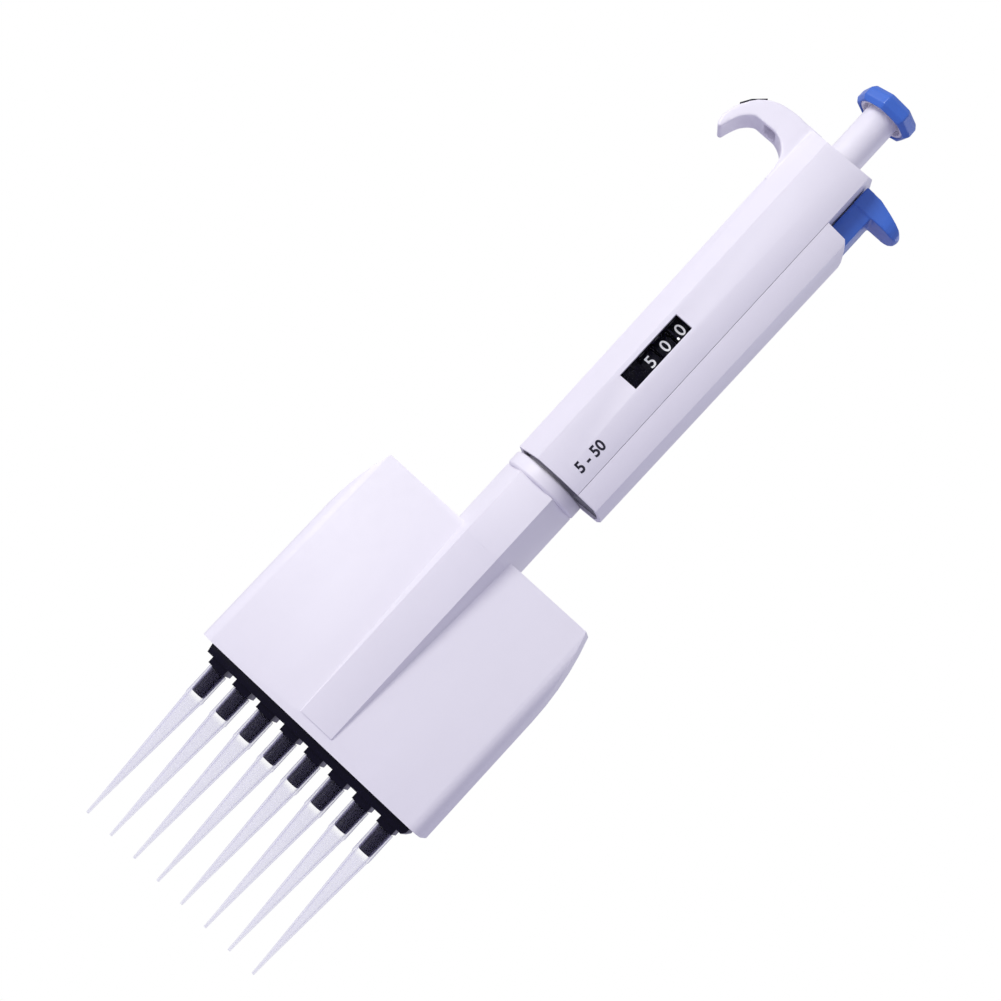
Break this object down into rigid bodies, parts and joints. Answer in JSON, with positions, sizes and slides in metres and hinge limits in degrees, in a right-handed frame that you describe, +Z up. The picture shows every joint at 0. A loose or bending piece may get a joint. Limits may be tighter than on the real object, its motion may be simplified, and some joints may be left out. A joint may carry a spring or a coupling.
{
  "type": "multichannel pipette",
  "caption": "Hand-held multichannel pipette: faceted grip with finger hook, push knob, tip ejector lever, volume window, swivelling wide manifold and a row of clear disposable tips.",
  "frame": {"origin": "on the plunger axis at the level of the tip ends, midway along the row of tips", "axes": "+Z up along the plunger axis to the push knob; +X along the row of tips towards the ejector lever, finger hook on -X; -Y is the side with the volume window"},
  "size_m": [0.081, 0.029, 0.2945],
  "materials": {
    "white_plastic": "satin moulded",
    "black_plastic": "semi-gloss moulded",
    "blue_plastic": "satin gloss",
    "clear_tip": "translucent natural polypropylene",
    "clear_window": "clear plastic lens",
    "steel": "ground",
    "brass": "turned",
    "rubber": "matt",
    "grey_plastic": "moulded"
  },
  "bodies": {
    "handle": {"handle_main_shell": "white_plastic", "handle_side_shell": "white_plastic", "handle_screws": "steel", "hook_label": "black_plastic", "window_lens": "clear_window", "counter_frame": "black_plastic", "bearing_plate": "black_plastic", "top_bush": "grey_plastic", "plunger_spring": "steel", "ejector_spring": "steel"},
    "plunger": {"plunger_rod": "steel", "spring_washer": "steel"},
    "knob": {"knob_cap": "blue_plastic", "knob_liner": "white_plastic", "plunger_stem": "white_plastic", "volume_spindle": "steel"},
    "stop_nut_slide": {"stop_nut": "brass"},
    "tenths_wheel": {"tenths_drum": "black_plastic"},
    "units_wheel": {"units_drum": "black_plastic"},
    "tens_wheel": {"tens_drum": "black_plastic"},
    "ejector": {"ejector_button": "blue_plastic", "ejector_rod": "steel", "ejector_foot": "steel"},
    "head": {"manifold_housing": "white_plastic", "manifold_rear_cover": "white_plastic", "cover_screws": "steel", "cylinder_block": "grey_plastic", "tip_cones": "black_plastic", "piston_seals": "rubber", "seal_plate": "steel", "seal_plate_screws": "steel", "guide_rods": "steel", "neck_collar": "white_plastic", "retaining_nut": "brass", "carriage_springs": "steel", "ejector_bar_springs": "steel"},
    "carriage": {"piston_carriage": "grey_plastic", "pistons": "steel"},
    "ejector_frame": {"ejector_bar": "black_plastic", "ejector_push_rods": "steel", "ejector_yoke": "grey_plastic"},
    "tip_body_1": {"tip_1": "clear_tip"},
    "tip_body_2": {"tip_2": "clear_tip"},
    "tip_body_3": {"tip_3": "clear_tip"},
    "tip_body_4": {"tip_4": "clear_tip"},
    "tip_body_5": {"tip_5": "clear_tip"},
    "tip_body_6": {"tip_6": "clear_tip"},
    "tip_body_7": {"tip_7": "clear_tip"},
    "tip_body_8": {"tip_8": "clear_tip"}
  },
  "joints": [
    {"name": "head_swivel", "type": "hinge", "parent": "handle", "child": "head", "pos_m": [0, 0, 0.1555], "axis": [0, 0, 1], "continuous": true},
    {"name": "plunger_press", "type": "slide", "parent": "handle", "child": "plunger", "axis": [0, 0, -1], "range_m": [0, 0.0127], "stiffness_N_per_m": 300, "springref_m": -0.008, "deforming": ["plunger_spring"]},
    {"name": "volume_turn", "type": "hinge", "parent": "plunger", "child": "knob", "pos_m": [0, 0, 0.2914], "axis": [0, 0, 1], "range_deg": [-3240, 0]},
    {"name": "stop_nut_travel", "type": "slide", "parent": "plunger", "child": "stop_nut_slide", "axis": [0, 0, 1], "range_m": [0, 0.00917]},
    {"name": "tenths_turn", "type": "hinge", "parent": "handle", "child": "tenths_wheel", "pos_m": [0, 0, 0.2055], "axis": [0, 0, 1], "range_deg": [-3240, 0]},
    {"name": "units_turn", "type": "hinge", "parent": "handle", "child": "units_wheel", "pos_m": [0, 0, 0.1991], "axis": [0, 0, 1], "range_deg": [-1620, 0]},
    {"name": "tens_turn", "type": "hinge", "parent": "handle", "child": "tens_wheel", "pos_m": [0, 0, 0.1932], "axis": [0, 0, 1], "range_deg": [-162, 0]},
    {"name": "carriage_travel", "type": "slide", "parent": "head", "child": "carriage", "axis": [0, 0, -1], "range_m": [0, 0.0127], "deforming": ["carriage_springs"]},
    {"name": "ejector_press", "type": "slide", "parent": "handle", "child": "ejector", "axis": [0, 0, -1], "range_m": [0, 0.007], "stiffness_N_per_m": 400, "springref_m": -0.005, "deforming": ["ejector_spring"]},
    {"name": "ejector_frame_travel", "type": "slide", "parent": "head", "child": "ejector_frame", "axis": [0, 0, -1], "range_m": [0, 0.007], "deforming": ["ejector_bar_springs"]},
    {"name": "tip_1_release", "type": "slide", "parent": "ejector_frame", "child": "tip_body_1", "axis": [0, 0, -1], "range_m": [0, 0.012]},
    {"name": "tip_2_release", "type": "slide", "parent": "ejector_frame", "child": "tip_body_2", "axis": [0, 0, -1], "range_m": [0, 0.012]},
    {"name": "tip_3_release", "type": "slide", "parent": "ejector_frame", "child": "tip_body_3", "axis": [0, 0, -1], "range_m": [0, 0.012]},
    {"name": "tip_4_release", "type": "slide", "parent": "ejector_frame", "child": "tip_body_4", "axis": [0, 0, -1], "range_m": [0, 0.012]},
    {"name": "tip_5_release", "type": "slide", "parent": "ejector_frame", "child": "tip_body_5", "axis": [0, 0, -1], "range_m": [0, 0.012]},
    {"name": "tip_6_release", "type": "slide", "parent": "ejector_frame", "child": "tip_body_6", "axis": [0, 0, -1], "range_m": [0, 0.012]},
    {"name": "tip_7_release", "type": "slide", "parent": "ejector_frame", "child": "tip_body_7", "axis": [0, 0, -1], "range_m": [0, 0.012]},
    {"name": "tip_8_release", "type": "slide", "parent": "ejector_frame", "child": "tip_body_8", "axis": [0, 0, -1], "range_m": [0, 0.012]}
  ],
  "couplings": [
    {"joint": "volume_turn", "follows": "stop_nut_travel", "rad_per_m": -6166.7},
    {"joint": "tenths_turn", "follows": "stop_nut_travel", "rad_per_m": -6166.7},
    {"joint": "units_turn", "follows": "stop_nut_travel", "rad_per_m": -3083.4},
    {"joint": "tens_turn", "follows": "stop_nut_travel", "rad_per_m": -308.34},
    {"joint": "carriage_travel", "follows": "plunger_press", "ratio": 1},
    {"joint": "ejector_frame_travel", "follows": "ejector_press", "ratio": 1}
  ]
}
